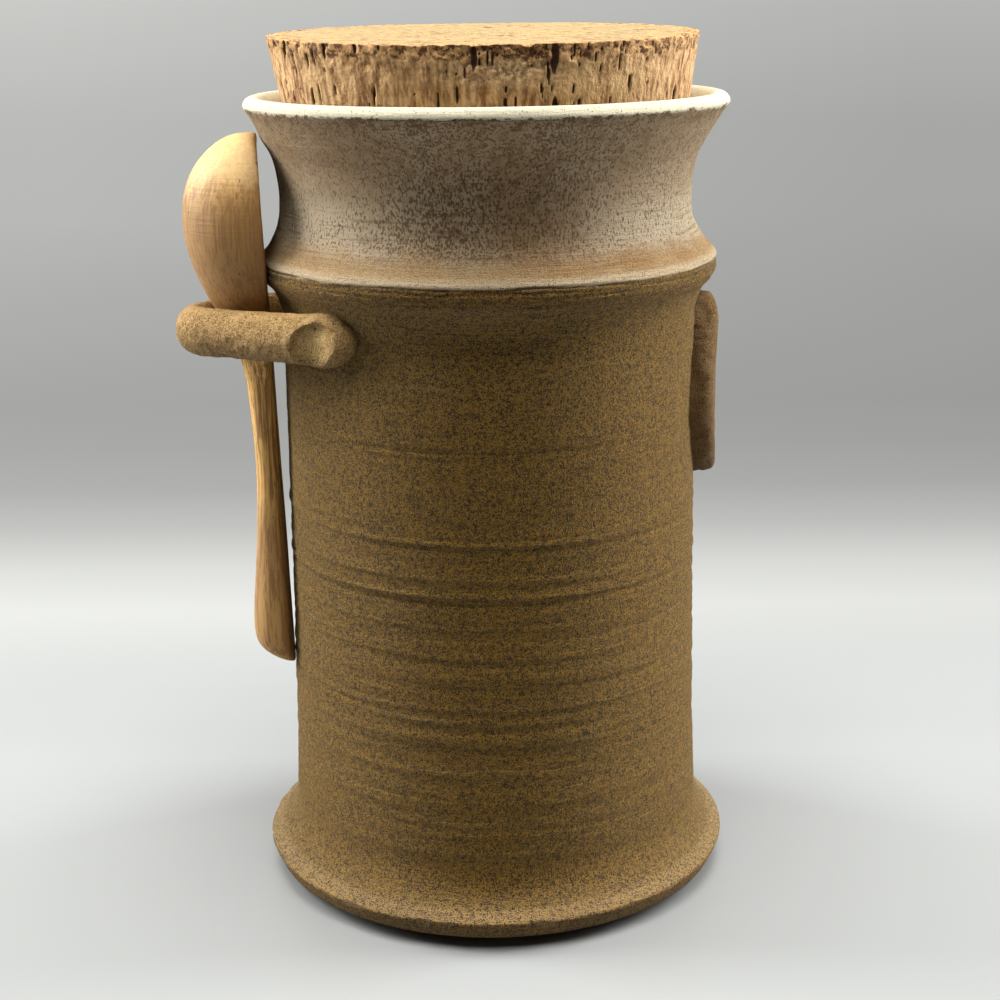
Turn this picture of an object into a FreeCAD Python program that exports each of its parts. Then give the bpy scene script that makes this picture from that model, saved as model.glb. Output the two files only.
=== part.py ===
"""A wheel-thrown stoneware canister with a cork, a clay spoon loop, a clay medallion and a wooden scoop.

Frame: millimetres, +Z up, origin at the middle of the flat base.
The scoop side is the -X side, turned a little towards -Y; the medallion is on the +X side.
"""
import math
import os

import FreeCAD
import Part

from FreeCAD import Vector

# ---- driving dimensions -------------------------------------------------------------------
# Jar: one wall thrown on the wheel, with a wide foot, a ridge under the neck and a flared rim.
BASE_RADIUS = 60.0            # flat part that stands on the table
FOOT_LOW_RADIUS = 69.0        # lower edge of the foot's rim
FOOT_LOW_HEIGHT = 3.3
FOOT_TOP_RADIUS = 71.1        # widest edge of the foot
FOOT_TOP_HEIGHT = 7.7
FOOT_EDGE_ROUNDING = 0.8
FOOT_HOLLOW = [(66.6, 11.4), (63.6, 14.6), (62.1, 19.6)]  # radius and height, up to the wall
BODY_START_HEIGHT = 26.0
BODY_START_RADIUS = 62.1
BODY_END_HEIGHT = 172.5
BODY_END_RADIUS = 60.0
BODY_LOW_SPREAD = 1.1         # the wall opens out by this much just above the foot
BODY_LOW_SPREAD_LENGTH = 24.0 # and the opening fades over this height
THROWING_RINGS = 20           # shallow swells left by the fingers, foot to ridge
RING_SWELL = 0.16             # how far each swell stands out
RIDGE_FLARE = [(61.4, 176.6), (62.7, 179.4), (65.0, 182.0)]  # the wall swings out under the ridge
RIDGE_RADIUS = 66.1
RIDGE_LOW_HEIGHT = 184.4      # the ridge is a short band with two grooves cut in it
RIDGE_TOP_HEIGHT = 187.9
RIDGE_GROOVES = 2
RIDGE_GROOVE_DEPTH = 0.5
NECK_HOLLOW = [(62.6, 192.2), (59.3, 198.0), (58.6, 205.5), (60.0, 215.5), (63.9, 222.9)]
RIM_RADIUS = 69.1
RIM_HEIGHT = 233.3
RIM_INNER_RADIUS = 63.9
LIP_DROP = 2.3                # the lip's round starts this far under the rim's top, outside
LIP_INSIDE_DROP = 0.9         # and ends this far under it, inside
THROAT = [(61.6, 228.4), (58.1, 220.6)]                   # from the lip down to the cork's seat
BELOW_SEAT = [(53.9, 199.0), (54.5, 190.0)]
INSIDE_WALL_TOP = 184.0       # the inside is a plain cylinder from here down
FLOOR_THICKNESS = 8.0
INSIDE_RADIUS = 54.6
INSIDE_CORNER_RADIUS = 9.0

# Cork: a tapered stopper, pushed into the throat until its side bears on it.
CORK_TAPER = 8.3              # degrees of its side from upright
CORK_SEAT_HEIGHT = 207.0      # where its side starts to bear on the throat
CORK_SEAT_RADIUS = 54.0
CORK_SEAT_LENGTH = 6.0
CORK_BELOW_SEAT = 1.0         # stretch of cork under the seat
CORK_TOP_HEIGHT = 250.1       # at the middle of its slightly sloping top
CORK_TOP_SLOPE = 1.1          # degrees, lower at the front
CORK_EDGE_ROUNDING = 1.2
SLICE_SIZE = 200.0            # the block that slices the cork's top, wider than the cork
SLICE_HEIGHT = 40.0
CORK_SPARE_LENGTH = 10.0      # length of the cork blank that the slice takes off

# The loop and the scoop share one upright plane through the jar's axis.
SCOOP_AZIMUTH = 8.0           # degrees from -X towards -Y

# Loop: a rolled clay strap bent to an arch, its ends pressed on the wall with the thumb.
LOOP_HEIGHT = 168.5           # height of the strap's centre line at its middle
LOOP_TILT = 3.4               # degrees, its -Y leg the higher one
LOOP_HALF_HEIGHT = 6.85
LOOP_HALF_THICKNESS = 5.8
LOOP_REACH = 85.3             # centre line's furthest distance from the jar's axis
LOOP_BEND_RADIUS = 16.4
LOOP_LEG_SPLAY = 41.0         # degrees between a leg and the arch's middle line
PAD_ANGLE = 36.5              # where the thumb pressed, round the jar from the middle line
PAD_HALF_LENGTH = 10.6
PAD_HALF_HEIGHT = 7.5
PAD_HALF_THICKNESS = 6.2
PRINT_HALF_LENGTH = 8.6       # the thumb print's hollow
PRINT_HALF_HEIGHT = 6.7
PRINT_DEPTH = 3.0
PRINT_LIFT = 0.6              # the thumb's middle, outside the pad's face

# Scoop: a flat-fronted wooden scoop hanging bowl up, its front towards the jar.
SCOOP_FOOT_DISTANCE = 61.05   # its flat front from the jar's axis, at the handle's end
SCOOP_LEAN = 0.0281           # how far the front leans outwards for each millimetre upwards
SCOOP_END_HEIGHT = 65.3
# Stations up the scoop: height, half width, thickness, share of the thickness that is rounded front.
SCOOP_STATIONS = [
    (65.3, 2.2, 2.2, 0.30),
    (67.6, 5.4, 7.2, 0.30),
    (71.5, 7.2, 10.8, 0.30),
    (77.0, 7.8, 11.7, 0.30),
    (90.0, 7.2, 10.6, 0.34),
    (109.0, 5.9, 8.6, 0.40),
    (127.0, 5.2, 7.5, 0.45),
    (144.0, 5.4, 7.9, 0.45),
    (158.0, 6.5, 9.4, 0.30),
    (168.0, 10.4, 12.9, 0.12),
    (177.0, 15.6, 17.0, 0.05),
    (186.0, 19.2, 20.6, 0.03),
    (197.0, 20.8, 22.6, 0.03),
    (207.0, 19.4, 21.6, 0.03),
    (215.0, 15.7, 17.7, 0.03),
    (220.5, 10.8, 12.2, 0.05),
    (223.4, 5.0, 5.6, 0.10),
]
BOWL_CENTRE_HEIGHT = 198.5
BOWL_HALF_LENGTH = 23.0
BOWL_HALF_WIDTH = 18.4
BOWL_DEPTH = 19.6

# Medallion: a plain disc of clay pressed on the wall, a little thinner in its middle.
MEDALLION_AZIMUTH = 6.0       # degrees from +X towards +Y
MEDALLION_HEIGHT = 147.1
MEDALLION_HALF_HEIGHT = 27.6
MEDALLION_HALF_WIDTH = 25.0
MEDALLION_THICKNESS = 6.6     # at its middle
MEDALLION_RIM_RISE = 0.9      # extra thickness towards its upper and lower edge
MEDALLION_EDGE_ROUNDING = 2.4
MEDALLION_BLANK_START = 40.0  # the oval blank runs outwards from inside the wall
MEDALLION_BLANK_LENGTH = 50.0
MEDALLION_MARGIN = 1.0        # the shell it is cut from is this much taller at each end


def half_plane_point(radius, height):
    """A point of a turned profile: distance from the axis and height."""
    return Vector(radius, 0, height)


def half_plane_points(pairs):
    return [half_plane_point(radius, height) for radius, height in pairs]


def line(start, end):
    return Part.LineSegment(start, end).toShape()


def arc(start, middle, end):
    return Part.Arc(start, middle, end).toShape()


def smooth(points, start_direction=None, end_direction=None):
    """A smooth curve through a few points, with its end directions where they matter."""
    curve = Part.BSplineCurve()
    if start_direction is None:
        curve.interpolate(points)
    else:
        curve.interpolate(Points=points, InitialTangent=start_direction, FinalTangent=end_direction)
    return curve.toShape()


def turned(edges):
    """The solid of a closed profile in the XZ half plane turned once round the Z axis."""
    face = Part.Face(Part.Wire(edges))
    return face.revolve(Vector(0, 0, 0), Vector(0, 0, 1), 360)


# ---- jar ----------------------------------------------------------------------------------
def foot_edges():
    """Base, bevelled underside, the foot's edge band and the hollow curve up to the wall."""
    centre = half_plane_point(0, 0)
    base_edge = half_plane_point(BASE_RADIUS, 0)
    low = half_plane_point(FOOT_LOW_RADIUS, FOOT_LOW_HEIGHT)
    top = half_plane_point(FOOT_TOP_RADIUS, FOOT_TOP_HEIGHT)
    rounded = half_plane_point(FOOT_TOP_RADIUS - 0.25, FOOT_TOP_HEIGHT + 0.75 * FOOT_EDGE_ROUNDING)
    shelf = half_plane_point(FOOT_TOP_RADIUS - FOOT_EDGE_ROUNDING, FOOT_TOP_HEIGHT + 1.3)
    wall_start = half_plane_point(BODY_START_RADIUS, BODY_START_HEIGHT)
    hollow = [shelf] + half_plane_points(FOOT_HOLLOW) + [wall_start]
    return [
        line(centre, base_edge),
        line(base_edge, low),
        line(low, top),
        arc(top, rounded, shelf),
        smooth(hollow, Vector(-0.9, 0, 0.35), Vector(0, 0, 1)),
    ]


def body_radius(height):
    """Wall radius: a straight taper to under the ridge, with a spread that fades above the foot."""
    share = (height - BODY_START_HEIGHT) / (BODY_END_HEIGHT - BODY_START_HEIGHT)
    straight_start = BODY_START_RADIUS - BODY_LOW_SPREAD
    spread = BODY_LOW_SPREAD * math.exp((BODY_START_HEIGHT - height) / BODY_LOW_SPREAD_LENGTH)
    return straight_start + share * (BODY_END_RADIUS - straight_start) + spread


def throwing_ring_edges():
    """One shallow arc for each swell, the swells a little taller in the middle of the wall."""
    heights = []
    for index in range(THROWING_RINGS + 1):
        share = index / THROWING_RINGS
        drift = 0.012 * math.sin(2 * math.pi * share) + 0.006 * math.sin(10 * math.pi * share)
        heights.append(BODY_START_HEIGHT + (share + drift) * (BODY_END_HEIGHT - BODY_START_HEIGHT))
    edges = []
    for low, high in zip(heights[:-1], heights[1:]):
        middle = (low + high) / 2
        start = half_plane_point(body_radius(low), low)
        swell = half_plane_point(body_radius(middle) + RING_SWELL, middle)
        end = half_plane_point(body_radius(high), high)
        edges.append(arc(start, swell, end))
    return edges


def ridge_edges():
    """The flare under the ridge, the ridge's band and its turned grooves."""
    wall_end = half_plane_point(body_radius(BODY_END_HEIGHT), BODY_END_HEIGHT)
    ridge_start = half_plane_point(RIDGE_RADIUS, RIDGE_LOW_HEIGHT)
    flare = [wall_end] + half_plane_points(RIDGE_FLARE) + [ridge_start]
    edges = [smooth(flare, Vector(0.1, 0, 1), Vector(0.35, 0, 1))]
    pitch = (RIDGE_TOP_HEIGHT - RIDGE_LOW_HEIGHT) / RIDGE_GROOVES
    for index in range(RIDGE_GROOVES):
        low = RIDGE_LOW_HEIGHT + index * pitch
        start = half_plane_point(RIDGE_RADIUS, low)
        groove = half_plane_point(RIDGE_RADIUS - RIDGE_GROOVE_DEPTH, low + 0.6 * pitch)
        end = half_plane_point(RIDGE_RADIUS, low + pitch)
        edges.append(arc(start, groove, end))
    return edges


def neck_edges():
    """The hollow neck from the ridge's crest out to the flared rim, and the rim's round lip."""
    crest = half_plane_point(RIDGE_RADIUS, RIDGE_TOP_HEIGHT)
    rim_outside = half_plane_point(RIM_RADIUS, RIM_HEIGHT - LIP_DROP)
    neck = [crest] + half_plane_points(NECK_HOLLOW) + [rim_outside]
    lip_top = half_plane_point(RIM_RADIUS - 2.2, RIM_HEIGHT)
    lip_inside = half_plane_point(RIM_INNER_RADIUS, RIM_HEIGHT - LIP_INSIDE_DROP)
    return [
        smooth(neck, Vector(-0.8, 0, 0.75), Vector(0.45, 0, 1)),
        arc(rim_outside, half_plane_point(RIM_RADIUS - 0.4, RIM_HEIGHT - 0.6), lip_top),
        arc(lip_top, half_plane_point(RIM_RADIUS - 3.9, RIM_HEIGHT + 0.05), lip_inside),
    ]


def cork_radius(height):
    """Radius of the cork's tapered side."""
    return CORK_SEAT_RADIUS + (height - CORK_SEAT_HEIGHT) * math.tan(math.radians(CORK_TAPER))


def inside_edges():
    """From the lip down the throat, past the cork's seat, down the wall and across the floor."""
    lip_inside = half_plane_point(RIM_INNER_RADIUS, RIM_HEIGHT - LIP_INSIDE_DROP)
    seat_top_height = CORK_SEAT_HEIGHT + CORK_SEAT_LENGTH
    seat_top = half_plane_point(cork_radius(seat_top_height), seat_top_height)
    seat_bottom = half_plane_point(CORK_SEAT_RADIUS, CORK_SEAT_HEIGHT)
    wall_top = half_plane_point(INSIDE_RADIUS, INSIDE_WALL_TOP)
    corner_top = half_plane_point(INSIDE_RADIUS, FLOOR_THICKNESS + INSIDE_CORNER_RADIUS)
    corner_bottom = half_plane_point(INSIDE_RADIUS - INSIDE_CORNER_RADIUS, FLOOR_THICKNESS)
    bend = INSIDE_CORNER_RADIUS * (1 - math.sqrt(0.5))
    corner_middle = half_plane_point(INSIDE_RADIUS - bend, FLOOR_THICKNESS + bend)
    floor_centre = half_plane_point(0, FLOOR_THICKNESS)
    throat = [lip_inside] + half_plane_points(THROAT) + [seat_top]
    below_seat = [seat_bottom] + half_plane_points(BELOW_SEAT) + [wall_top]
    return [
        smooth(throat),
        line(seat_top, seat_bottom),
        smooth(below_seat),
        line(wall_top, corner_top),
        arc(corner_top, corner_middle, corner_bottom),
        line(corner_bottom, floor_centre),
    ]


def jar_outside():
    """The outline from the base to the lip, as edges."""
    return foot_edges() + throwing_ring_edges() + ridge_edges() + neck_edges()


def make_jar():
    axis = line(half_plane_point(0, FLOOR_THICKNESS), half_plane_point(0, 0))
    return turned(jar_outside() + inside_edges() + [axis])


def make_filled_jar():
    """The jar's outside as one full solid, used to seat what is pressed on its wall."""
    lip_inside = half_plane_point(RIM_INNER_RADIUS, RIM_HEIGHT - LIP_INSIDE_DROP)
    lid_centre = half_plane_point(0, RIM_HEIGHT - LIP_INSIDE_DROP)
    closing = [line(lip_inside, lid_centre), line(lid_centre, half_plane_point(0, 0))]
    return turned(jar_outside() + closing)


# ---- cork ---------------------------------------------------------------------------------
def make_cork():
    """A cone frustum whose top is sliced at a slight slope, with its top edge worn round."""
    bottom_height = CORK_SEAT_HEIGHT - CORK_BELOW_SEAT
    blank_height = CORK_TOP_HEIGHT + CORK_SPARE_LENGTH
    blank = Part.makeCone(
        cork_radius(bottom_height),
        cork_radius(blank_height),
        blank_height - bottom_height,
        Vector(0, 0, bottom_height),
    )
    slice_corner = Vector(-SLICE_SIZE / 2, -SLICE_SIZE / 2, 0)
    slice_box = Part.makeBox(SLICE_SIZE, SLICE_SIZE, SLICE_HEIGHT, slice_corner)
    slice_box.rotate(Vector(0, 0, 0), Vector(1, 0, 0), CORK_TOP_SLOPE)
    slice_box.translate(Vector(0, 0, CORK_TOP_HEIGHT))
    cork = blank.cut(slice_box)
    top_edges = [edge for edge in cork.Edges if edge.CenterOfMass.z > CORK_TOP_HEIGHT - 5]
    closed_top_edges = [edge for edge in top_edges if edge.isClosed()]
    return cork.makeFillet(CORK_EDGE_ROUNDING, closed_top_edges)


# ---- what is on the scoop side is built along -X, then turned to its azimuth ------------------
def side_point(outward, sideways, height):
    """A point of the scoop side: distance from the jar's axis, distance towards -Y, height."""
    return Vector(-outward, -sideways, height)


def turn_to_scoop_side(shape):
    turned_shape = shape.copy()
    turned_shape.rotate(Vector(0, 0, 0), Vector(0, 0, 1), SCOOP_AZIMUTH)
    return turned_shape


def ellipsoid(centre, along, half_along, half_up, half_across):
    """A ball stretched along one level direction, upwards, and across both."""
    ball = Part.makeSphere(1.0)
    stretch = FreeCAD.Matrix()
    stretch.scale(half_along, half_across, half_up)
    ball = ball.transformGeometry(stretch)
    turn = math.degrees(math.atan2(along.y, along.x))
    ball.rotate(Vector(0, 0, 0), Vector(0, 0, 1), turn)
    ball.translate(centre)
    return ball


# ---- loop ---------------------------------------------------------------------------------
def strap_section(centre, along):
    """The strap's oval section as a face, square to its run."""
    across = Vector(0, 0, 1).cross(along)
    oval = Part.Ellipse(
        centre + Vector(0, 0, LOOP_HALF_HEIGHT),
        centre + across * LOOP_HALF_THICKNESS,
        centre,
    )
    return Part.Face(Part.Wire(oval.toShape()))


def loop_leg_frame(side):
    """Where a leg leaves the bend, its direction inwards, and the outward normal of its run."""
    splay = math.radians(LOOP_LEG_SPLAY)
    bend_centre = LOOP_REACH - LOOP_BEND_RADIUS
    normal = Vector(-math.sin(splay), -side * math.cos(splay), 0)
    direction = Vector(math.cos(splay), -side * math.sin(splay), 0)
    start = side_point(bend_centre, 0, LOOP_HEIGHT) + normal * LOOP_BEND_RADIUS
    return start, direction, normal


def pad_centre(side):
    """The point of a leg's centre line that lies at the pad's angle round the jar."""
    start, direction, normal = loop_leg_frame(side)
    line_distance = normal.x * start.x + normal.y * start.y
    foot_angle = 90 - LOOP_LEG_SPLAY
    distance = line_distance / math.cos(math.radians(foot_angle - PAD_ANGLE))
    angle = math.radians(PAD_ANGLE)
    return side_point(distance * math.cos(angle), side * distance * math.sin(angle), LOOP_HEIGHT)


def make_loop_leg(side):
    """A straight leg that ends in a pad flattened by the thumb, with the thumb's hollow in it."""
    start, direction, normal = loop_leg_frame(side)
    centre = pad_centre(side)
    run = (centre - start).Length
    leg = strap_section(start, direction).extrude(direction * run)
    pad = ellipsoid(centre, direction, PAD_HALF_LENGTH, PAD_HALF_HEIGHT, PAD_HALF_THICKNESS)
    print_centre = centre + normal * (PAD_HALF_THICKNESS + PRINT_LIFT)
    print_reach = PRINT_DEPTH + PRINT_LIFT
    thumb = ellipsoid(print_centre, direction, PRINT_HALF_LENGTH, PRINT_HALF_HEIGHT, print_reach)
    return leg.fuse(pad).cut(thumb)


def make_spoon_loop(filled_jar):
    bend_axis = side_point(LOOP_REACH - LOOP_BEND_RADIUS, 0, LOOP_HEIGHT)
    start, direction = loop_leg_frame(1)[:2]
    sweep_angle = 2 * (90 - LOOP_LEG_SPLAY)
    bend = strap_section(start, direction).revolve(bend_axis, Vector(0, 0, 1), -sweep_angle)
    arch = bend.fuse([make_loop_leg(1), make_loop_leg(-1)])
    arch.rotate(Vector(0, 0, LOOP_HEIGHT), Vector(1, 0, 0), -LOOP_TILT)
    arch = turn_to_scoop_side(arch)
    seated = arch.cut(filled_jar)
    return seated.removeSplitter()


# ---- scoop --------------------------------------------------------------------------------
def scoop_front(height):
    """Distance of the scoop's flat front from the jar's axis at a height."""
    return SCOOP_FOOT_DISTANCE + SCOOP_LEAN * (height - SCOOP_END_HEIGHT)


def half_oval(widest, half_width, bulge, height):
    """Exactly half an oval, as two joined quarter arcs, starting on the -Y side when bulge is outward."""
    side = half_width if bulge > 0 else -half_width
    poles = [
        side_point(widest, side, height),
        side_point(widest + bulge, side, height),
        side_point(widest + bulge, 0, height),
        side_point(widest + bulge, -side, height),
        side_point(widest, -side, height),
    ]
    corner_weight = math.sqrt(0.5)
    curve = Part.BSplineCurve()
    curve.buildFromPolesMultsKnots(
        poles, [3, 2, 3], [0, 1, 2], False, 2, [1, corner_weight, 1, corner_weight, 1]
    )
    return curve.toShape()


def scoop_section(height, half_width, thickness, front_share):
    """A level section: a shallow rounded front and a deep rounded back."""
    widest = scoop_front(height) + front_share * thickness
    back = half_oval(widest, half_width, (1 - front_share) * thickness, height)
    front = half_oval(widest, half_width, -front_share * thickness, height)
    return Part.Wire([back, front])


def make_scoop():
    sections = [scoop_section(*station) for station in SCOOP_STATIONS]
    blank = Part.makeLoft(sections, True, False)
    hollow_centre = side_point(scoop_front(BOWL_CENTRE_HEIGHT), 0, BOWL_CENTRE_HEIGHT)
    hollow = ellipsoid(hollow_centre, Vector(1, 0, 0), BOWL_DEPTH, BOWL_HALF_LENGTH, BOWL_HALF_WIDTH)
    return turn_to_scoop_side(blank.cut(hollow))


# ---- medallion ----------------------------------------------------------------------------
def make_side_lug(filled_jar):
    """A disc cut from a shell that follows the wall, thicker at its top and bottom edge."""
    low_height = MEDALLION_HEIGHT - MEDALLION_HALF_HEIGHT - MEDALLION_MARGIN
    high_height = MEDALLION_HEIGHT + MEDALLION_HALF_HEIGHT + MEDALLION_MARGIN
    face_radius = body_radius(MEDALLION_HEIGHT) + MEDALLION_THICKNESS
    low_outer = half_plane_point(face_radius + MEDALLION_RIM_RISE, low_height)
    high_outer = half_plane_point(face_radius + MEDALLION_RIM_RISE, high_height)
    middle_outer = half_plane_point(face_radius, MEDALLION_HEIGHT)
    low_inner = half_plane_point(0, low_height)
    high_inner = half_plane_point(0, high_height)
    shell = turned([
        line(low_inner, low_outer),
        arc(low_outer, middle_outer, high_outer),
        line(high_outer, high_inner),
        line(high_inner, low_inner),
    ])
    outline = Part.Ellipse(
        Vector(MEDALLION_BLANK_START, 0, MEDALLION_HEIGHT + MEDALLION_HALF_HEIGHT),
        Vector(MEDALLION_BLANK_START, MEDALLION_HALF_WIDTH, MEDALLION_HEIGHT),
        Vector(MEDALLION_BLANK_START, 0, MEDALLION_HEIGHT),
    )
    plug = Part.Face(Part.Wire(outline.toShape())).extrude(Vector(MEDALLION_BLANK_LENGTH, 0, 0))
    plug.rotate(Vector(0, 0, 0), Vector(0, 0, 1), MEDALLION_AZIMUTH)
    disc = plug.common(shell)
    far_face = max(disc.Faces, key=lambda face: math.hypot(face.CenterOfMass.x, face.CenterOfMass.y))
    disc = disc.makeFillet(MEDALLION_EDGE_ROUNDING, far_face.Edges)
    return disc.cut(filled_jar)


def single_solid(name, shape):
    """The one solid that a piece must be."""
    solids = shape.Solids
    if len(solids) != 1 or not solids[0].isValid():
        raise ValueError(f"{name} is {len(solids)} solids, or not valid")
    return solids[0]


def main():
    os.makedirs("parts", exist_ok=True)
    filled_jar = make_filled_jar()
    pieces = {
        "jar": make_jar(),
        "cork": make_cork(),
        "spoon_loop": make_spoon_loop(filled_jar),
        "side_lug": make_side_lug(filled_jar),
        "spoon": make_scoop(),
    }
    for name, shape in pieces.items():
        solid = single_solid(name, shape)
        solid.exportStep(f"parts/{name}.step")
        box = solid.BoundBox
        print(f"{name}: {solid.Volume / 1000:.1f} cm3, faces {len(solid.Faces)}, "
              f"x {box.XMin:.1f}..{box.XMax:.1f}, y {box.YMin:.1f}..{box.YMax:.1f}, "
              f"z {box.ZMin:.1f}..{box.ZMax:.1f}")


main()
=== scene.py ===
"""Looks of the stoneware canister: thrown jar, cork, clay spoon loop, clay medallion and wooden scoop.

Shapes are worked out in millimetres with numpy and put into the meshes in metres.
The scoop side is -X, turned a little towards -Y; the medallion is on the +X side.
"""
import math

import bpy
import numpy as np
from mathutils import Matrix, Vector


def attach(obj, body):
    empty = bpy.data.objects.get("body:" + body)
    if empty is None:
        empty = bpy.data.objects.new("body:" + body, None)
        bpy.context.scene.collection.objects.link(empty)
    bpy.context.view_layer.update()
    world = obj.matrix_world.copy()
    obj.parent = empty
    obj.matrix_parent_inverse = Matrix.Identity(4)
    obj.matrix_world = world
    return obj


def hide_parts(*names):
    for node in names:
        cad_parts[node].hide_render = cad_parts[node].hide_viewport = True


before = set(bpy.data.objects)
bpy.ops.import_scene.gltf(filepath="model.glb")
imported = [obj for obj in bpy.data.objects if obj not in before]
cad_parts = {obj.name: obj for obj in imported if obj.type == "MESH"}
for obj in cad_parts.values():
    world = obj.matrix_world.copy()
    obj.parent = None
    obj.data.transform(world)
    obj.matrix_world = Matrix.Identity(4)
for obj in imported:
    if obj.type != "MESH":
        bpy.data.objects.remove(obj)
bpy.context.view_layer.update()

MM = 0.001
TURN = 2 * math.pi
UP = np.array([0.0, 0.0, 1.0])
SKIN_VOXEL = 0.5              # cell of the remesh that melts surfaces into one skin, in millimetres

# ---- sizes shared with the solids, in millimetres ------------------------------------------
BODY_START, BODY_END = 26.0, 172.5
BODY_START_RADIUS, BODY_END_RADIUS = 62.1, 60.0
LOW_SPREAD, LOW_SPREAD_LENGTH = 1.1, 24.0
FOOT_TOP = 8.9
RIDGE_LOW, RIDGE_TOP, RIDGE_RADIUS = 184.4, 187.9, 66.1
CORK_TAPER = math.radians(8.3)
CORK_SEAT, CORK_SEAT_RADIUS = 207.0, 54.0
CORK_TOP, CORK_SLOPE, CORK_LIMIT = 249.85, math.radians(1.6), 251.2
SCOOP_AZIMUTH = math.radians(8.0)
LOOP_HEIGHT, LOOP_TILT = 168.5, math.radians(3.4)
LOOP_HALF_HEIGHT, LOOP_HALF_THICKNESS = 6.85, 5.8
LOOP_REACH, LOOP_BEND = 85.3, 16.4
LEG_SPLAY, PAD_ANGLE = math.radians(41.0), math.radians(36.5)
PAD_HALVES = (10.6, 6.2, 7.5)
PRINT_HALVES = (7.4, 5.9)
PRINT_DEPTH, PRINT_TURN, PRINT_DROP = 3.0, math.radians(24.0), 1.1
MEDALLION_AZIMUTH = math.radians(6.0)
MEDALLION_HEIGHT, MEDALLION_HALF_HEIGHT, MEDALLION_HALF_WIDTH = 147.1, 27.6, 25.0
MEDALLION_THICKNESS, MEDALLION_RISE, MEDALLION_ROUNDING, MEDALLION_BACK = 6.6, 0.9, 2.4, -1.5

# The tool's deeper lines in the wall and in the ridge: height, and depth, negative where raised.
TRIMMING_LINES = ((144.0, 0.30), (141.6, 0.24), (118.5, -0.34), (116.9, 0.2),
                  (108.6, -0.24), (103.4, -0.48), (101.4, 0.40), (91.0, 0.2))
RIDGE_LINES = ((187.2, 0.42), (186.0, 0.50), (184.6, 0.36), (182.6, 0.50), (180.4, 0.30))


# ---- noise, worked out as whole arrays -----------------------------------------------------
def cell_number(cells, seed):
    """A repeatable number from 0 to 1 for each whole-number cell, from the fraction of a large sine."""
    mix = cells[..., 0] * 127.1 + cells[..., 1] * 311.7 + cells[..., 2] * 74.7 + seed * 19.19
    return np.modf(np.abs(np.sin(mix) * 43758.5453))[0]


def soft_noise(points, size, seed):
    """Value noise from -1 to 1: the numbers of the eight corners of each point's cell, blended by
    3t^2 - 2t^3 along each axis. The size is the cell's, one number or one for each axis."""
    scaled = points / np.asarray(size, float)
    low = np.floor(scaled)
    t = scaled - low
    t = t * t * (3 - 2 * t)
    total = np.zeros(points.shape[:-1])
    for corner in range(8):
        step = np.array([corner & 1, corner >> 1 & 1, corner >> 2 & 1], float)
        weight = np.prod(np.where(step > 0, t, 1 - t), axis=-1)
        total += weight * cell_number(low + step, seed)
    return 2 * total - 1


def layered_noise(points, size, seed, layers=3):
    """Value noise summed over layers, each half the size and half the strength of the one before."""
    size = np.asarray(size, float)
    total = np.zeros(points.shape[:-1])
    for layer in range(layers):
        total += soft_noise(points, size / 2 ** layer, seed + layer) / 2 ** layer
    return total / (2 - 2 ** (1 - layers))


def step_between(value, low, high):
    """0 below low, 1 above high, and 3t^2 - 2t^3 between them."""
    t = np.clip((value - low) / (high - low), 0, 1)
    return t * t * (3 - 2 * t)


def scattered_hollows(across, up, cell_width, cell_height, chance, seed, width, height):
    """Oval hollows on a surface laid flat, one at most in each cell: 1 in the middle, 0 at the edge.
    Each hollow's place, half width and half height are drawn from its cell's numbers."""
    column, row = np.floor(across / cell_width), np.floor(up / cell_height)
    deepest = np.zeros(np.broadcast(across, up).shape)
    for side in (-1, 0, 1):
        for level in (-1, 0, 1):
            cell = np.stack(np.broadcast_arrays(column + side, row + level, 0.0), axis=-1)
            there = cell_number(cell, seed) < chance
            x = (cell[..., 0] + 0.2 + 0.6 * cell_number(cell, seed + 1)) * cell_width
            y = (cell[..., 1] + 0.2 + 0.6 * cell_number(cell, seed + 2)) * cell_height
            size = 0.35 + 0.65 * cell_number(cell, seed + 3) ** 2
            reach = ((across - x) / (width * size)) ** 2 + ((up - y) / (height * size)) ** 2
            deepest = np.maximum(deepest, there * np.clip(1 - reach, 0, 1))
    return deepest


# ---- meshes --------------------------------------------------------------------------------
def around_axis(radius, angle, height):
    """Points at a distance from the upright axis, an angle round it and a height."""
    return np.stack(np.broadcast_arrays(radius * np.cos(angle), radius * np.sin(angle), height), axis=-1)


def with_ends(values, first=0, last=0):
    """A number for each point of a closed tube: its grid's values, then those of the two end points."""
    return np.append(values.ravel(), [first, last])


def curve_through(points, step):
    """A Catmull-Rom curve through the points, with a point about every step of its length."""
    p = np.asarray(points, float)
    padded = np.vstack([2 * p[0] - p[1], p, 2 * p[-1] - p[-2]])
    run = []
    for index in range(len(p) - 1):
        a, b, c, d = padded[index:index + 4]
        count = max(2, int(round(np.linalg.norm(c - b) / step)))
        t = np.linspace(0, 1, count, endpoint=False)[:, None]
        run.append(0.5 * (2 * b + (c - a) * t + (2 * a - 5 * b + 4 * c - d) * t ** 2
                          + (3 * b - a - 3 * c + d) * t ** 3))
    return np.vstack(run + [p[-1:]])


def straight(start, end, step):
    """Points along a line, about one every step, both ends included."""
    start, end = np.asarray(start, float), np.asarray(end, float)
    count = max(2, int(round(np.linalg.norm(end - start) / step)) + 1)
    return start + (end - start) * np.linspace(0, 1, count)[:, None]


def joined(runs):
    """Runs of points end to end, with the repeated end points dropped."""
    return np.vstack([runs[0]] + [run[1:] for run in runs[1:]])


def ring_faces(rows, columns):
    """Four-sided faces between neighbouring rows of a closed ring grid; the last column meets the first."""
    row = np.arange(rows - 1)[:, None] * columns
    column = np.arange(columns)[None, :]
    after = (column + 1) % columns
    corners = [row + column, row + after, row + columns + after, row + columns + column]
    return np.stack(corners, axis=-1).reshape(-1, 4)


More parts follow.
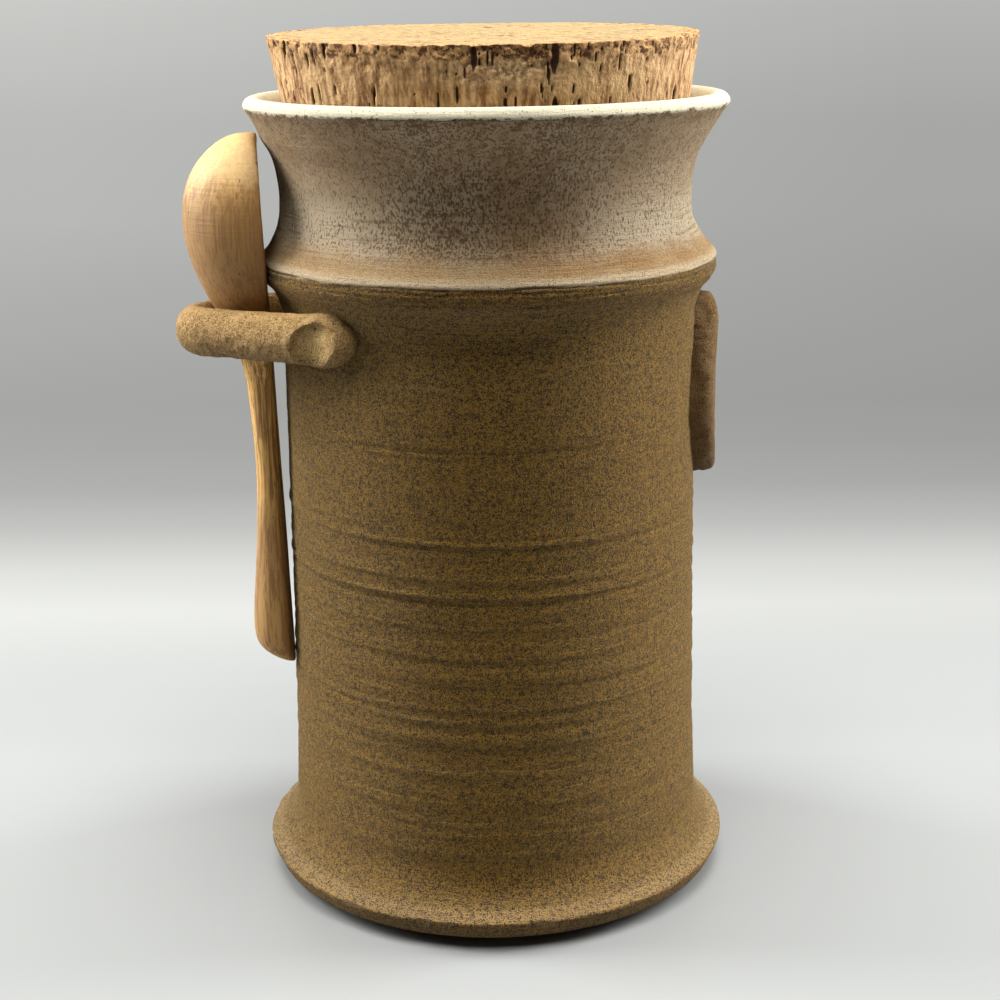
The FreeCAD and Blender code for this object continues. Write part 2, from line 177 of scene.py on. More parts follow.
def closed_tube(grid):
    """A ring grid of points with a middle point closing each end: points, squares and triangles."""
    rows, columns = grid.shape[:2]
    points = np.vstack([grid.reshape(-1, 3), grid[0].mean(0), grid[-1].mean(0)])
    first, last = rows * columns, rows * columns + 1
    column = np.arange(columns)
    after = (column + 1) % columns
    top = (rows - 1) * columns
    start = np.stack([np.full(columns, first), after, column], axis=-1)
    end = np.stack([np.full(columns, last), top + column, top + after], axis=-1)
    return points, ring_faces(rows, columns), np.vstack([start, end])


def make_mesh(name, points, squares, triangles=None, marks=None):
    """A smooth-shaded mesh from arrays of points in millimetres, with a number for each point in marks."""
    if triangles is None:
        triangles = np.zeros((0, 3), int)
    mesh = bpy.data.meshes.new(name)
    mesh.vertices.add(len(points))
    mesh.vertices.foreach_set("co", (points * MM).astype(np.float32).ravel())
    corners = np.concatenate([squares.ravel(), triangles.ravel()])
    mesh.loops.add(len(corners))
    mesh.loops.foreach_set("vertex_index", corners.astype(np.int32))
    sides = np.concatenate([np.full(len(squares), 4), np.full(len(triangles), 3)])
    starts = np.concatenate([[0], np.cumsum(sides)[:-1]])
    mesh.polygons.add(len(sides))
    mesh.polygons.foreach_set("loop_start", starts.astype(np.int32))
    mesh.polygons.foreach_set("use_smooth", np.ones(len(sides), bool))
    mesh.update(calc_edges=True)
    mesh.validate()
    for mark, values in (marks or {}).items():
        layer = mesh.attributes.new(mark, "FLOAT", "POINT")
        layer.data.foreach_set("value", np.asarray(values, np.float32).ravel())
    return mesh


def place_piece(name, mesh, material, nodes):
    """Puts a mesh in the scene as a piece that rides on the canister and stands for its solids."""
    piece = bpy.data.objects.new(name, mesh)
    bpy.context.scene.collection.objects.link(piece)
    mesh.materials.append(material)
    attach(piece, "root")
    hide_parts(*nodes)


# ---- jar -----------------------------------------------------------------------------------
def body_radius(height):
    """Straight taper of the wall, with a spread that fades above the foot."""
    share = (height - BODY_START) / (BODY_END - BODY_START)
    start = BODY_START_RADIUS - LOW_SPREAD
    fade = np.exp((BODY_START - height) / LOW_SPREAD_LENGTH)
    return start + share * (BODY_END_RADIUS - start) + LOW_SPREAD * fade


def jar_profile():
    """Radius and height from the middle of the base, up the outside, over the lip and down inside."""
    heights = np.linspace(BODY_START, BODY_END, 262)
    wall = np.stack([body_radius(heights), heights], axis=-1)
    foot_low, foot_edge, foot_shelf = (69.0, 3.3), (71.0, 7.7), (70.2, FOOT_TOP)
    ridge_low, ridge_top = (RIDGE_RADIUS, RIDGE_LOW), (RIDGE_RADIUS, RIDGE_TOP)
    lip_outside, lip_inside = (69.0, 230.6), (63.9, 232.4)
    seat_top, seat_low = (54.9, 213.0), (53.9, 205.0)
    inside_top, inside_low, floor_edge = (54.6, 184.0), (54.6, 17.0), (45.6, 8.0)
    runs = [
        straight((3, 0), (60, 0), 6),
        straight((60, 0), foot_low, 2),
        straight(foot_low, foot_edge, 0.8),
        curve_through([foot_edge, (70.9, 8.3), foot_shelf], 0.4),
        curve_through([foot_shelf, (66.6, 11.4), (63.6, 14.6), (62.2, 19.6), tuple(wall[0])], 0.8),
        wall,
        curve_through([tuple(wall[-1]), (61.4, 176.6), (62.7, 179.4), (65.0, 182.0),
                       ridge_low], 0.7),
        straight(ridge_low, ridge_top, 0.35),
        curve_through([ridge_top, (65.5, 188.9), (62.6, 192.2), (59.3, 198.0),
                       (58.6, 205.5), (60.0, 215.5), (63.9, 222.9), lip_outside], 0.9),
        curve_through([lip_outside, (68.8, 231.6), (68.0, 232.7), (66.6, 233.25), (65.2, 233.2),
                       lip_inside], 0.5),
        curve_through([lip_inside, (61.6, 228.4), (58.1, 220.6), seat_top], 1.6),
        straight(seat_top, seat_low, 4),
        straight(seat_low, inside_top, 5),
        straight(inside_top, inside_low, 12),
        curve_through([inside_low, (52.0, 10.6), floor_edge], 2),
        straight(floor_edge, (3, 8.0), 8),
    ]
    return joined(runs)


def jar_relief(radius, height, angle):
    """How far the clay stands out or in, in millimetres: slightly tilted finger rings,
    fine trimming lines, torn grooves in the ridge, chips along the foot, and a slow wobble."""
    round_points = around_axis(radius, angle, height)
    climbing = height + 1.8 + 0.4 * np.cos(angle)
    level = around_axis(6, angle, climbing)
    on_wall = step_between(height, 14, 30) * (1 - step_between(height, 176, 184))
    low_wall = step_between(height, 34, 46) * (1 - step_between(height, 80, 96))
    by_height = around_axis(0, angle, climbing)
    crisp = 0.35 + 0.65 * step_between(soft_noise(by_height, 13.0, 5), -0.3, 0.6)
    rings = 0.14 * layered_noise(level, (9, 9, 7.0), 3, 2)
    rings = rings + 0.24 * low_wall * soft_noise(level, (7, 7, 1.75), 8)
    lines = 0.17 * crisp * soft_noise(level, (5, 5, 1.05), 11)
    by_angle = around_axis(6, angle, 0.0)
    patchy = 0.55 + 0.45 * step_between(soft_noise(by_angle, 5.0, 13), -0.4, 0.5)
    for line_height, depth in TRIMMING_LINES:
        lines = lines - depth * patchy * np.exp(-((climbing - line_height) / 0.55) ** 2)
    on_neck = step_between(height, 190, 196) * (1 - step_between(height, 222, 229))
    neck = 0.10 * layered_noise(level, (7, 7, 3.0), 21, 2)
    lumps = 0.10 * layered_noise(round_points, 14.0, 31, 3)
    wobble = 0.16 * np.cos(2 * angle + 0.7) + 0.10 * np.cos(3 * angle + height / 60)
    relief = on_wall * (rings + lines) + on_neck * neck + lumps + wobble
    along = around_axis(11, angle, 0.0)
    torn = np.zeros_like(relief)
    for seed, (level_height, depth) in enumerate(RIDGE_LINES, 41):
        wander = level_height + 0.40 * soft_noise(along, 2.2, seed)
        strength = depth * (0.30 + 0.70 * step_between(layered_noise(along, 1.6, seed + 10, 3), -0.4, 0.3))
        torn += strength * np.exp(-((height - wander) / 0.36) ** 2)
    ragged = 0.22 * step_between(height, 180, 184) * (1 - step_between(height, 188, 190))
    torn += ragged * np.clip(layered_noise(round_points, (2.2, 2.2, 0.9), 49, 2), 0, 1)
    edge = np.exp(-((height - 7.4) / 1.9) ** 2) * (radius > 67)
    chips = 0.75 * edge * step_between(layered_noise(round_points, 2.6, 61, 3), 0.12, 0.55)
    return relief, torn, chips


def jar_mesh():
    """The profile turned round the axis, each point moved outwards or inwards by the clay's relief.
    The scoop side of the neck stands out about a millimetre, as if pushed out of round when soft."""
    profile = jar_profile()
    columns = 216
    angle = np.arange(columns)[None, :] * TURN / columns
    radius, height = profile[:, :1], profile[:, 1:]
    radius, height, angle = np.broadcast_arrays(radius, height, angle)
    outside = np.zeros(len(profile))
    outside[:int(np.argmax(profile[:, 1])) + 1] = 1
    outside = outside[:, None] * step_between(height, 0.0, 4.0)
    relief, torn, chips = jar_relief(radius, height, angle)
    lip = step_between(height, 229, 232.5)
    pushed = np.clip(-np.cos(angle), 0, 1) ** 2
    neck_bulge = step_between(height, 189, 199) * (1 - step_between(height, 221, 228))
    shift = outside * ((1 - 0.6 * lip) * relief - torn - chips + 1.1 * pushed * neck_bulge)
    foot_band = (height < 9.5) & (radius > 66)
    shift = np.where(foot_band, np.minimum(shift, 0.0), shift)
    points, squares, triangles = closed_tube(around_axis(radius + shift, angle, height))
    marks = {"torn": with_ends(torn * outside), "chipped": with_ends(chips * outside)}
    return make_mesh("jar_thrown", points, squares, triangles, marks)


# ---- cork ----------------------------------------------------------------------------------
def cork_profile():
    """Radius and height across the underside, up the tapered side and in over the top, and the number
    of the first row that belongs to the top."""
    low = np.linspace(CORK_SEAT - 1, 231.0, 8)
    heights = np.concatenate([low, np.linspace(231.0, CORK_TOP, 46)[1:]])
    radii = CORK_SEAT_RADIUS + (heights - CORK_SEAT) * math.tan(CORK_TAPER)
    side = np.stack([radii, heights], axis=-1)
    under = straight((3, CORK_SEAT - 1), side[0], 9)
    inwards = np.concatenate([np.linspace(0, 6, 13), np.linspace(6, radii[-1] - 2, 42)[1:]])
    top = np.stack([radii[-1] - inwards, np.full(len(inwards), CORK_TOP)], axis=-1)
    return joined([under, side, top]), len(under) - 1 + len(side)


def cork_pores(flat, angle, height):
    """Three sizes of oval pore drawn out upwards, 1 in the middle, on rows that noise bends a little."""
    around = angle * 59.0 + 0.55 * layered_noise(flat, (2.6, 2.6, 3.4), 66, 2)
    up = height + 1.2 * layered_noise(flat, 4.0, 68, 2)
    pores = scattered_hollows(around, up, 3.6, 8.0, 0.36, 5, 0.42, 4.2)
    pores = np.maximum(pores, scattered_hollows(around + 1.7, up, 10.0, 15.0, 0.42, 9, 1.1, 5.5))
    return np.maximum(pores, 0.8 * scattered_hollows(around, up, 1.9, 5.0, 0.34, 15, 0.26, 2.2))


def cork_mesh():
    """A cone's side and a slightly sloping top on one ring grid. The side has oval pores drawn out
    upwards, the top edge is crumbled back by noise, and the top has low ridges along its grain."""
    profile, first_top_row = cork_profile()
    columns = 880
    angle = np.arange(columns)[None, :] * TURN / columns
    radius, height, angle = np.broadcast_arrays(profile[:, :1], profile[:, 1:], angle)
    edge_radius = CORK_SEAT_RADIUS + (CORK_TOP - CORK_SEAT) * math.tan(CORK_TAPER)
    on_top = (np.arange(len(profile)) >= first_top_row)[:, None] * np.ones_like(radius)
    on_side = (1 - on_top) * step_between(height, 208, 216)
    flat = around_axis(radius, angle, height)
    pores = cork_pores(flat, angle, height)
    ragged = layered_noise(flat, (2.8, 2.8, 2.2), 71, 4)
    broad = layered_noise(flat, 17.0, 75, 2)
    front = np.exp(-((angle - 1.52 * math.pi) / 0.30) ** 2)
    to_edge = np.where(on_top > 0, (edge_radius - radius) / 3.0, (CORK_TOP - height) / 3.2)
    near_edge = np.exp(-to_edge)
    bite = near_edge * (0.30 + 1.5 * np.clip(ragged + 0.25 * broad, -0.25, 1) + 0.7 * front)
    crumbled = on_side * front * step_between(height, 236, 246) * (0.6 + 0.6 * ragged)
    cracks = pores * on_side * (1.5 - 0.6 * step_between(height, 246, 250))
    inward = on_side * (cracks + 0.22 * ragged + 0.25 * broad) + bite + 1.6 * crumbled
    ridges = layered_noise(flat, (16.0, 1.3, 8.0), 81, 3)
    pits = step_between(layered_noise(flat, (3.6, 2.2, 3.0), 85, 3), 0.28, 0.6)
    down = on_top * (0.22 * ridges + 0.75 * pits + 0.20 * broad) + near_edge * np.clip(1.5 * ragged, 0, 1.5)
    to_scoop = np.clip(-np.cos(angle), 0, 1) ** 2
    leaning = 1.3 * to_scoop * step_between(height, 222, CORK_TOP) * radius / edge_radius
    new_radius = radius - np.clip(inward, -0.15, None) + leaning
    slope = step_between(height, 236, CORK_TOP) * math.tan(CORK_SLOPE) * new_radius * np.sin(angle)
    new_height = np.minimum(height - np.clip(down, 0, None) + slope, CORK_LIMIT)
    points, squares, triangles = closed_tube(around_axis(new_radius, angle, new_height))
    dark = np.clip(on_side * front * step_between(height, 233, 245) * (0.75 + 0.8 * ragged), 0, 1)
    marks = {"pore": with_ends(np.clip(on_side * pores + on_top * 0.8 * pits, 0, 1)),
             "worn": with_ends(np.clip(near_edge * (0.9 + 1.3 * ragged), 0, 1)),
             "crumbled": with_ends(dark),
             "cut_face": with_ends(on_top, 0, 1)}
    return make_mesh("cork_stopper", points, squares, triangles, marks)


# ---- loop ----------------------------------------------------------------------------------
def side_point(outward, sideways, height):
    """A point of the scoop side before it is turned: distance from the axis, towards -Y, height."""
    return np.array([-outward, -sideways, height], float)


def turn_to_scoop_side(points):
    """Turns points about the upright axis onto the scoop's azimuth."""
    c, s = math.cos(SCOOP_AZIMUTH), math.sin(SCOOP_AZIMUTH)
    return points @ np.array([[c, s, 0], [-s, c, 0], [0, 0, 1]])


def leg_frame(side):
    """Where a leg leaves the bend, its direction towards the jar, and the outward normal of its run."""
    normal = np.array([-math.sin(LEG_SPLAY), -side * math.cos(LEG_SPLAY), 0])
    direction = np.array([math.cos(LEG_SPLAY), -side * math.sin(LEG_SPLAY), 0])
    return side_point(LOOP_REACH - LOOP_BEND, 0, LOOP_HEIGHT) + normal * LOOP_BEND, direction, normal


def pad_centre(side):
    """The point of a leg's middle line that lies at the pad's angle round the jar."""
    start, _, normal = leg_frame(side)
    distance = (normal[:2] @ start[:2]) / math.cos(math.pi / 2 - LEG_SPLAY - PAD_ANGLE)
    return side_point(distance * math.cos(PAD_ANGLE), side * distance * math.sin(PAD_ANGLE), LOOP_HEIGHT)


def loop_path():
    """The strap's middle line: a straight leg, the bend as an arc, and the other straight leg."""
    bend_middle = side_point(LOOP_REACH - LOOP_BEND, 0, LOOP_HEIGHT)
    reach = math.pi / 2 - LEG_SPLAY
    turn = np.linspace(-reach, reach, 44)[:, None]
    bend = bend_middle + LOOP_BEND * np.hstack([-np.cos(turn), np.sin(turn), 0 * turn])
    first, second = leg_frame(1)[0], leg_frame(-1)[0]
    return joined([straight(pad_centre(1), first, 1.0), bend, straight(second, pad_centre(-1), 1.0)])


def strap_tube():
    """An oval carried along the middle line; its size drifts a little with noise, as rolled by hand."""
    path = loop_path()
    along = np.gradient(path, axis=0)
    along /= np.linalg.norm(along, axis=1)[:, None]
    across = np.cross(UP, along)
    sides = 56
    turn = np.arange(sides)[None, :, None] * TURN / sides
    drift = 1 + 0.035 * soft_noise(path, 15.0, 91)[:, None, None]
    height = LOOP_HALF_HEIGHT * drift * np.sin(turn)
    thickness = LOOP_HALF_THICKNESS * drift * np.cos(turn)
    grid = path[:, None, :] + across[:, None, :] * thickness + UP * height
    return closed_tube(grid)


def ball(centre, along, halves):
    """A stretched ball: half sizes along its direction, across it on the level, and upwards."""
    across = np.cross(UP, along)
    rise = np.linspace(-math.pi / 2, math.pi / 2, 42)[1:-1][:, None]
    columns = 60
    turn = np.arange(columns)[None, :] * TURN / columns
    x = np.cos(rise) * np.cos(turn) * halves[0]
    y = np.cos(rise) * np.sin(turn) * halves[1]
    z = np.sin(rise) * halves[2] * np.ones_like(turn)
    grid = centre + x[..., None] * along + y[..., None] * across + z[..., None] * UP
    return closed_tube(grid)


def merged(parts):
    """Several closed surfaces as one set of points and faces."""
    points, squares, triangles, count = [], [], [], 0
    for part_points, part_squares, part_triangles in parts:
        points.append(part_points)
        squares.append(part_squares + count)
        triangles.append(part_triangles + count)
        count += len(part_points)
    return np.vstack(points), np.vstack(squares), np.vstack(triangles)


def fused(name, points, squares, triangles, voxel, smoothing):
    """The surfaces melted into one skin by a voxel remesh and a smoothing, as points and faces."""
    mesh = make_mesh(name, points, squares, triangles)
    helper = bpy.data.objects.new(name, mesh)
    bpy.context.scene.collection.objects.link(helper)
    remesh = helper.modifiers.new("skin", "REMESH")
    remesh.mode, remesh.voxel_size = "VOXEL", voxel * MM
    relax = helper.modifiers.new("relax", "SMOOTH")
    relax.factor, relax.iterations = 0.5, smoothing
    shown = helper.evaluated_get(bpy.context.evaluated_depsgraph_get())
    skin = bpy.data.meshes.new_from_object(shown)
    coordinates = np.zeros(len(skin.vertices) * 3, np.float32)
    skin.vertices.foreach_get("co", coordinates)
    normals = np.zeros(len(skin.vertices) * 3, np.float32)
    skin.vertices.foreach_get("normal", normals)
    corners = np.zeros(len(skin.loops), np.int32)
    skin.loops.foreach_get("vertex_index", corners)
    sides = np.zeros(len(skin.polygons), np.int32)
    skin.polygons.foreach_get("loop_total", sides)
    if not np.all(sides == 4):
        raise ValueError("the remeshed skin should be all four-sided faces")
    bpy.data.objects.remove(helper)
    bpy.data.meshes.remove(mesh)
    bpy.data.meshes.remove(skin)
    return coordinates.reshape(-1, 3) / MM, normals.reshape(-1, 3), corners.reshape(-1, 4)


def loop_mesh():
    """Strap and pads melted together; the thumb's hollow is pressed into each pad, with a low rim
    squeezed up round it, and the skin is left slightly lumpy."""
    pads = [ball(pad_centre(side), leg_frame(side)[1], PAD_HALVES) for side in (1, -1)]
    points, squares, triangles = merged([strap_tube()] + pads)
    points, normals, faces = fused("loop_skin", points, squares, triangles, SKIN_VOXEL, 10)
    pressed = np.zeros(len(points))
    for side in (1, -1):
        direction, normal = leg_frame(side)[1:]
        offset = points - pad_centre(side) - normal * PAD_HALVES[1]
        along, up = offset @ direction, offset[:, 2] + PRINT_DROP
        long_way = along * math.cos(PRINT_TURN) + up * math.sin(PRINT_TURN)
        short_way = up * math.cos(PRINT_TURN) - along * math.sin(PRINT_TURN)
        across = np.sqrt((long_way / PRINT_HALVES[0]) ** 2 + (short_way / PRINT_HALVES[1]) ** 2)
        across = across + 0.07 * soft_noise(points, 3.5, 93)
        facing = step_between(normals @ normal, 0.0, 0.5) * (offset @ normal > -6)
        steep = 1.35 - 0.75 * step_between(short_way - 0.6 * along, -4, 5)
        hollow = np.clip(1 - across ** 2, 0, 1) ** steep * facing
        rim = 0.45 * np.exp(-((across - 1.12) / 0.20) ** 2) * facing
        points = points - normal * (PRINT_DEPTH * hollow - rim)[:, None]
        pressed = np.maximum(pressed, hollow)
    lumps = 0.34 * layered_noise(points, 8.0, 95, 2) + 0.26 * layered_noise(points, 1.9, 97, 2)
    points = points + normals * lumps[:, None]
    middle = np.array([0, 0, LOOP_HEIGHT])
    c, s = math.cos(LOOP_TILT), math.sin(LOOP_TILT)
    points = (points - middle) @ np.array([[1, 0, 0], [0, c, -s], [0, s, c]]) + middle
    # painted shade: the downward-facing skin is marked for a darker tone
    marks = {"pressed": pressed, "underside": step_between(-normals[:, 2], 0.05, 0.85)}
    return make_mesh("spoon_loop_clay", turn_to_scoop_side(points), faces, None, marks)


# ---- scoop ---------------------------------------------------------------------------------
def scoop_mesh():
    """The solid's own surface melted into one skin, so that its edges are softly worn, with the low
    facets of hand sanding."""
    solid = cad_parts["spoon"].data
    corner = np.zeros(len(solid.vertices) * 3, np.float32)
    solid.vertices.foreach_get("co", corner)
    solid.calc_loop_triangles()
    faces = np.zeros(len(solid.loop_triangles) * 3, np.int32)
    solid.loop_triangles.foreach_get("vertices", faces)
    no_squares, triangles = np.zeros((0, 4), int), faces.reshape(-1, 3)
    corners = corner.reshape(-1, 3) / MM
    points, normals, squares = fused("scoop_skin", corners, no_squares, triangles, SKIN_VOXEL, 5)
    sanded = 0.12 * layered_noise(points, (6.0, 6.0, 22.0), 121, 2)
    return make_mesh("scoop_wood", points + normals * sanded[:, None], squares)


# ---- medallion -----------------------------------------------------------------------------
def medallion_mesh():
    """An oval disc that follows the wall: rings from the middle of its face to its edge, round the
    edge and back under it. Its outline is torn by noise and its face left a little uneven."""
    shares = np.concatenate([np.linspace(0.04, 0.90, 40), np.linspace(0.90, 1.0, 12)[1:]])
    past_face = np.clip((shares - 0.90) / 0.10, 0, 1)
    face_drop = MEDALLION_ROUNDING * (1 - np.sqrt(np.clip(1 - past_face ** 2, 0, 1)))
    back = np.linspace(MEDALLION_THICKNESS - MEDALLION_ROUNDING, MEDALLION_BACK, 12)[1:]
    share = np.concatenate([shares, np.ones(len(back)), [0.5, 0.04]])[:, None]
    lift = np.concatenate([MEDALLION_THICKNESS - face_drop, back, [MEDALLION_BACK] * 2])[:, None]
    columns = 520
    angle = np.arange(columns)[None, :] * TURN / columns
    round_points = around_axis(30, angle, lift)
    tear = 0.75 * layered_noise(round_points, (4.0, 4.0, 3.0), 101, 4) - 0.50
    tear = tear * step_between(share, 0.7, 1.0)
    across = (MEDALLION_HALF_WIDTH * share + tear) * np.cos(angle)
    up = (MEDALLION_HALF_HEIGHT * share + tear) * np.sin(angle)
    rise = MEDALLION_RISE * (up / MEDALLION_HALF_HEIGHT) ** 2 * (lift > 0)
    face_points = np.stack([across, up, lift * np.ones_like(up)], axis=-1)
    uneven = 0.28 * layered_noise(face_points, 7.0, 105, 3) - 0.25
    uneven = uneven * (lift > 0)
    distance = body_radius(MEDALLION_HEIGHT) + lift + rise + uneven
    turn = MEDALLION_AZIMUTH + np.arcsin(np.clip(across / distance, -1, 1))
    points, squares, triangles = closed_tube(around_axis(distance, turn, MEDALLION_HEIGHT + up))
    # the disc's rim and lower half are marked for darker tones: partly painted shade, partly the disc's
    # darker clay
    rim = with_ends(np.broadcast_to(step_between(share, 0.86, 1.0), up.shape))
    under = with_ends(step_between(-up, 12, 30) * (lift > 0))
    return make_mesh("medallion_clay", points, squares, triangles, {"rim": rim, "underside": under})


# ---- material helpers ----------------------------------------------------------------------
def add_node(tree, kind, inputs=None, **settings):
    """A node with its settings; each input takes a value or a link from another node's socket."""
    node = tree.nodes.new(kind)
    for name, value in settings.items():
        setattr(node, name, value)
    for key, value in (inputs or {}).items():
        if isinstance(value, bpy.types.NodeSocket):
            tree.links.new(value, node.inputs[key])
        else:
            node.inputs[key].default_value = value
    return node


def maths(tree, operation, first, second=0.0):
    """A value worked out from one or two others."""
    return add_node(tree, "ShaderNodeMath", {0: first, 1: second}, operation=operation).outputs[0]


def times(tree, first, second):
    """The product of two values."""
    return maths(tree, "MULTIPLY", first, second)


def plus(tree, first, second):
    """The sum of two values."""
    return maths(tree, "ADD", first, second)


def ramp_between(tree, value, low, high, from_value=0.0, to_value=1.0):
    """A smooth step of a value between low and high."""
    node = add_node(tree, "ShaderNodeMapRange", {0: value, 1: low, 2: high, 3: from_value, 4: to_value},
                    interpolation_type="SMOOTHSTEP")
    return node.outputs[0]


def blend(tree, share, first, second):
    """Two colours mixed by a share."""
    tones = [tone if isinstance(tone, bpy.types.NodeSocket) else (*tone, 1.0) for tone in (first, second)]
    inputs = {0: share, 6: tones[0], 7: tones[1]}
    return add_node(tree, "ShaderNodeMix", inputs, data_type="RGBA", blend_type="MIX").outputs[2]


def band_between(tree, value, start, full, fading, gone):
    """A share that rises while a value goes from start to full, and falls again from fading to gone."""
    return times(tree, ramp_between(tree, value, start, full), ramp_between(tree, value, gone, fading))


def wavering(tree, height, pattern, reach):
    """A height moved by a pattern, so that an edge drawn on it isn't level."""
    return plus(tree, height, times(tree, pattern, reach))


def paint(tree, colour, share, tone, strength=1.0):
    """A colour covered with another tone, by a share times a strength."""
    if strength != 1.0:
        share = times(tree, share, strength)
    return blend(tree, share, colour, tone)


def grain(tree, vector, scale, detail=3.0, roughness=0.55, distortion=0.0):
    """Layered noise from 0 to 1."""
    inputs = {"Vector": vector, "Scale": scale, "Detail": detail, "Roughness": roughness,
              "Distortion": distortion}
    return add_node(tree, "ShaderNodeTexNoise", inputs).outputs[0]


def stretched(tree, vector, scale):
    """Places scaled along each axis: a pattern is drawn out where the scale is small."""
    return add_node(tree, "ShaderNodeMapping", {"Vector": vector, "Scale": scale}).outputs[0]


def mark_of(tree, name):
    """The number that a mesh holds for each point under a name."""
    return add_node(tree, "ShaderNodeAttribute", None, attribute_name=name).outputs["Fac"]


def new_material(name, roughness):
    """A material with its tree, its shader and the place that patterns are laid out on."""
    material = bpy.data.materials.new(name)
    material.use_nodes = True
    tree = material.node_tree
    shader = tree.nodes["Principled BSDF"]
    shader.inputs["Roughness"].default_value = roughness
    place = tree.nodes.new("ShaderNodeTexCoord").outputs["Object"]
    return material, tree, shader, place


def finish_material(tree, shader, colour, roughness, height, strength, distance):
    """Links colour, roughness and a bump from the height to the shader."""
    bump = add_node(tree, "ShaderNodeBump", {"Height": height, "Strength": strength, "Distance": distance})
    tree.links.new(colour, shader.inputs["Base Color"])
    tree.links.new(roughness, shader.inputs["Roughness"])
    tree.links.new(bump.outputs[0], shader.inputs["Normal"])


# ---- shared effects ------------------------------------------------------------------------
def new_group(name, inputs, outputs):
    """A node group with its sockets: the group, what it is given and what it gives."""
    group = bpy.data.node_groups.new(name, "ShaderNodeTree")
    for socket, kind, value in inputs:
        made = group.interface.new_socket(socket, in_out="INPUT", socket_type=kind)
        if value is not None:
            made.default_value = value
    for socket, kind in outputs:
        group.interface.new_socket(socket, in_out="OUTPUT", socket_type=kind)
    return group, group.nodes.new("NodeGroupInput").outputs, group.nodes.new("NodeGroupOutput").inputs


def make_sandy_group():
    """Coarse clay: grog grains as a colour mask and a height, dark iron specks, and pinholes."""
    group, given, result = new_group(
        "sandy_clay",
        [("Vector", "NodeSocketVector", None), ("Grain", "NodeSocketFloat", 1000.0),
         ("Specks", "NodeSocketFloat", 260.0)],
        [("Grog", "NodeSocketFloat"), ("Iron", "NodeSocketFloat"), ("Height", "NodeSocketFloat"),
         ("Fleck", "NodeSocketFloat"), ("Pit", "NodeSocketFloat")])
    fine = grain(group, given["Vector"], times(group, given["Grain"], 1.5), 2.0, 0.8)
    half = times(group, given["Grain"], 0.45)
    coarse = grain(group, given["Vector"], half, 2.0, 0.6)
    both = plus(group, times(group, fine, 0.75), times(group, coarse, 0.25))
    group.links.new(ramp_between(group, both, 0.43, 0.57), result["Grog"])
    cells = add_node(group, "ShaderNodeTexVoronoi", {"Vector": given["Vector"], "Scale": given["Specks"]})
    parts = add_node(group, "ShaderNodeSeparateColor", {0: cells.outputs["Color"]})
    reach = ramp_between(group, parts.outputs[1], 0.2, 1.0, 0.08, 0.26)
    near = maths(group, "LESS_THAN", cells.outputs["Distance"], reach)
    chosen = ramp_between(group, parts.outputs[0], 0.85, 0.88)
    iron = times(group, near, chosen)
    group.links.new(iron, result["Iron"])
    grains = add_node(group, "ShaderNodeTexVoronoi", {"Vector": given["Vector"], "Scale": given["Grain"]})
    draw = add_node(group, "ShaderNodeSeparateColor", {0: grains.outputs["Color"]}).outputs[0]
    middle = ramp_between(group, grains.outputs["Distance"], 0.42, 0.22)
    fleck = times(group, middle, maths(group, "GREATER_THAN", draw, 0.86))
    pit = times(group, middle, maths(group, "LESS_THAN", draw, 0.13))
    group.links.new(fleck, result["Fleck"])
    group.links.new(pit, result["Pit"])
    height = maths(group, "SUBTRACT", both, times(group, iron, 0.30))
    height = plus(group, height, times(group, maths(group, "SUBTRACT", fleck, pit), 0.22))
    group.links.new(height, result["Height"])
    return group


def make_level_lines_group():
    """Lines that run level round a turned piece: noise pressed flat along the height."""
    group, given, result = new_group(
        "level_lines",
        [("Vector", "NodeSocketVector", None), ("Fineness", "NodeSocketFloat", 300.0)],
        [("Broad", "NodeSocketFloat"), ("Fine", "NodeSocketFloat"), ("Scratch", "NodeSocketFloat")])
    pressed = stretched(group, given["Vector"], (0.05, 0.05, 1.0))
    broad = grain(group, pressed, given["Fineness"], 3.0, 0.6)
    fine = grain(group, pressed, times(group, given["Fineness"], 3.3), 2.0, 0.6)
    group.links.new(broad, result["Broad"])
    group.links.new(fine, result["Fine"])
    thin = stretched(group, given["Vector"], (0.35, 0.35, 9.0))
    lines = grain(group, thin, times(group, given["Fineness"], 0.2), 2.0, 0.5)
    group.links.new(ramp_between(group, lines, 0.67, 0.70), result["Scratch"])
    return group


SANDY = make_sandy_group()
LEVEL = make_level_lines_group()


def group_node(tree, group, vector, **values):
    """The outputs of a node group laid out on a vector, with its other inputs set."""
    node = add_node(tree, "ShaderNodeGroup", None, node_tree=group)
    tree.links.new(vector, node.inputs["Vector"])
    for name, value in values.items():
        node.inputs[name].default_value = value
    return node.outputs


